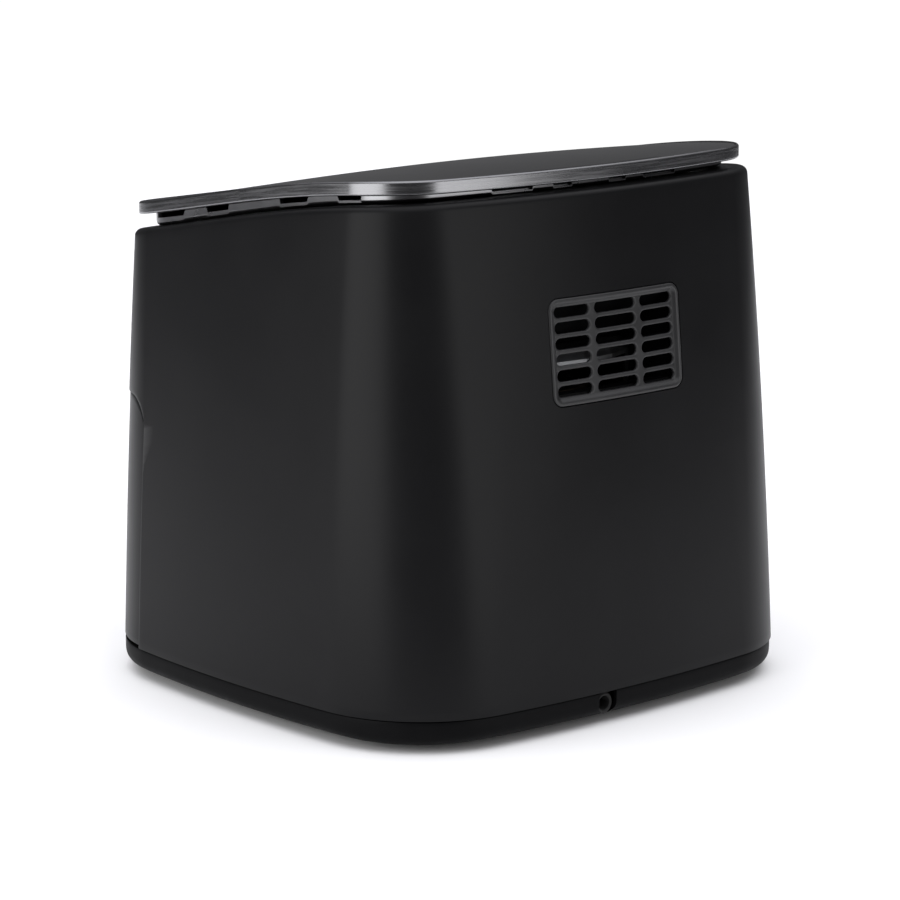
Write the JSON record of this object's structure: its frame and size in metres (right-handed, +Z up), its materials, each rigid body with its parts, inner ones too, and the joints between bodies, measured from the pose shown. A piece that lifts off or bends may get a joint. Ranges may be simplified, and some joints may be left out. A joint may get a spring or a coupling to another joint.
{
  "type": "air fryer",
  "caption": "Single-drawer air fryer: tapered rounded body with a sloping touch lid, rear air vent, front basket drawer with handle, and a spinning hot-air fan.",
  "frame": {"origin": "middle of the footprint, on the surface that the feet rest on", "axes": "+Z up; the drawer opens towards -Y; the air vent is at +Y; +X is the drawer's right-hand side seen from behind"},
  "size_m": [0.3, 0.343, 0.281],
  "materials": {
    "body_paint": "satin black paint over moulded plastic",
    "black_plastic": "fine-textured black plastic",
    "gunmetal_trim": "dark satin anodised",
    "glass_panel": "dark glossy touch panel",
    "black_rubber": "matt rubber",
    "sheet_steel": "bright rolled sheet",
    "cast_aluminium": "as cast",
    "non_stick": "dark non-stick coating",
    "silicone": "moulded silicone",
    "element_steel": "heat-darkened steel",
    "green_board": "solder mask on glass-fibre board",
    "brass_fitting": "machined",
    "screw_steel": "zinc plated"
  },
  "bodies": {
    "housing": {"body_shell": "body_paint", "vent_grille": "black_plastic", "inlet_neck": "black_plastic", "lid_rim": "gunmetal_trim", "lid_carrier": "black_plastic", "top_panel": "glass_panel", "base_pan": "black_plastic", "foot_front_right": "black_rubber", "foot_front_left": "black_rubber", "foot_rear_left": "black_rubber", "foot_rear_right": "black_rubber", "base_screw_1": "screw_steel", "base_screw_2": "screw_steel", "base_screw_3": "screw_steel", "base_screw_4": "screw_steel", "cord_gland": "black_rubber", "floor_frame": "black_plastic", "front_frame": "black_plastic", "chamber_floor": "sheet_steel", "chamber_wall": "sheet_steel", "chamber_roof": "sheet_steel", "drawer_rail_left": "sheet_steel", "drawer_rail_right": "sheet_steel", "drawer_switch": "black_plastic", "heater_dish": "sheet_steel", "heating_element": "element_steel", "fan_guard": "screw_steel", "temperature_sensor": "screw_steel", "thermal_cutoff": "brass_fitting", "exhaust_duct": "black_plastic", "motor_bracket": "sheet_steel", "motor_housing": "cast_aluminium", "lower_bearing": "brass_fitting", "upper_bearing": "brass_fitting", "control_board": "green_board", "display_module": "black_plastic", "power_board": "green_board"},
    "drawer": {"drawer_front": "body_paint", "drawer_frame": "black_plastic", "drawer_pan": "non_stick", "handle": "black_plastic", "handle_trim": "gunmetal_trim", "handle_bracket": "sheet_steel", "handle_screw_left": "screw_steel", "handle_screw_right": "screw_steel"},
    "crisper": {"crisper_plate": "non_stick", "crisper_foot_front_right": "silicone", "crisper_foot_front_left": "silicone", "crisper_foot_rear_left": "silicone", "crisper_foot_rear_right": "silicone"},
    "rotor": {"motor_shaft": "screw_steel", "rotor_core": "element_steel", "hot_air_fan": "cast_aluminium", "cooling_fan": "black_plastic", "fan_nut": "screw_steel"},
    "plunger": {"switch_plunger": "screw_steel"}
  },
  "joints": [
    {"name": "drawer_slide", "type": "slide", "parent": "housing", "child": "drawer", "axis": [0, -1, 0], "range_m": [0, 0.18]},
    {"name": "crisper_lift", "type": "slide", "parent": "drawer", "child": "crisper", "axis": [0, 0, 1], "range_m": [0, 0.095]},
    {"name": "fan_spin", "type": "hinge", "parent": "housing", "child": "rotor", "pos_m": [0, 0.0465, 0.2], "axis": [0, 0, 1], "continuous": true},
    {"name": "switch_press", "type": "slide", "parent": "housing", "child": "plunger", "axis": [0, 1, 0], "range_m": [0, 0.003], "stiffness_N_per_m": 200}
  ]
}
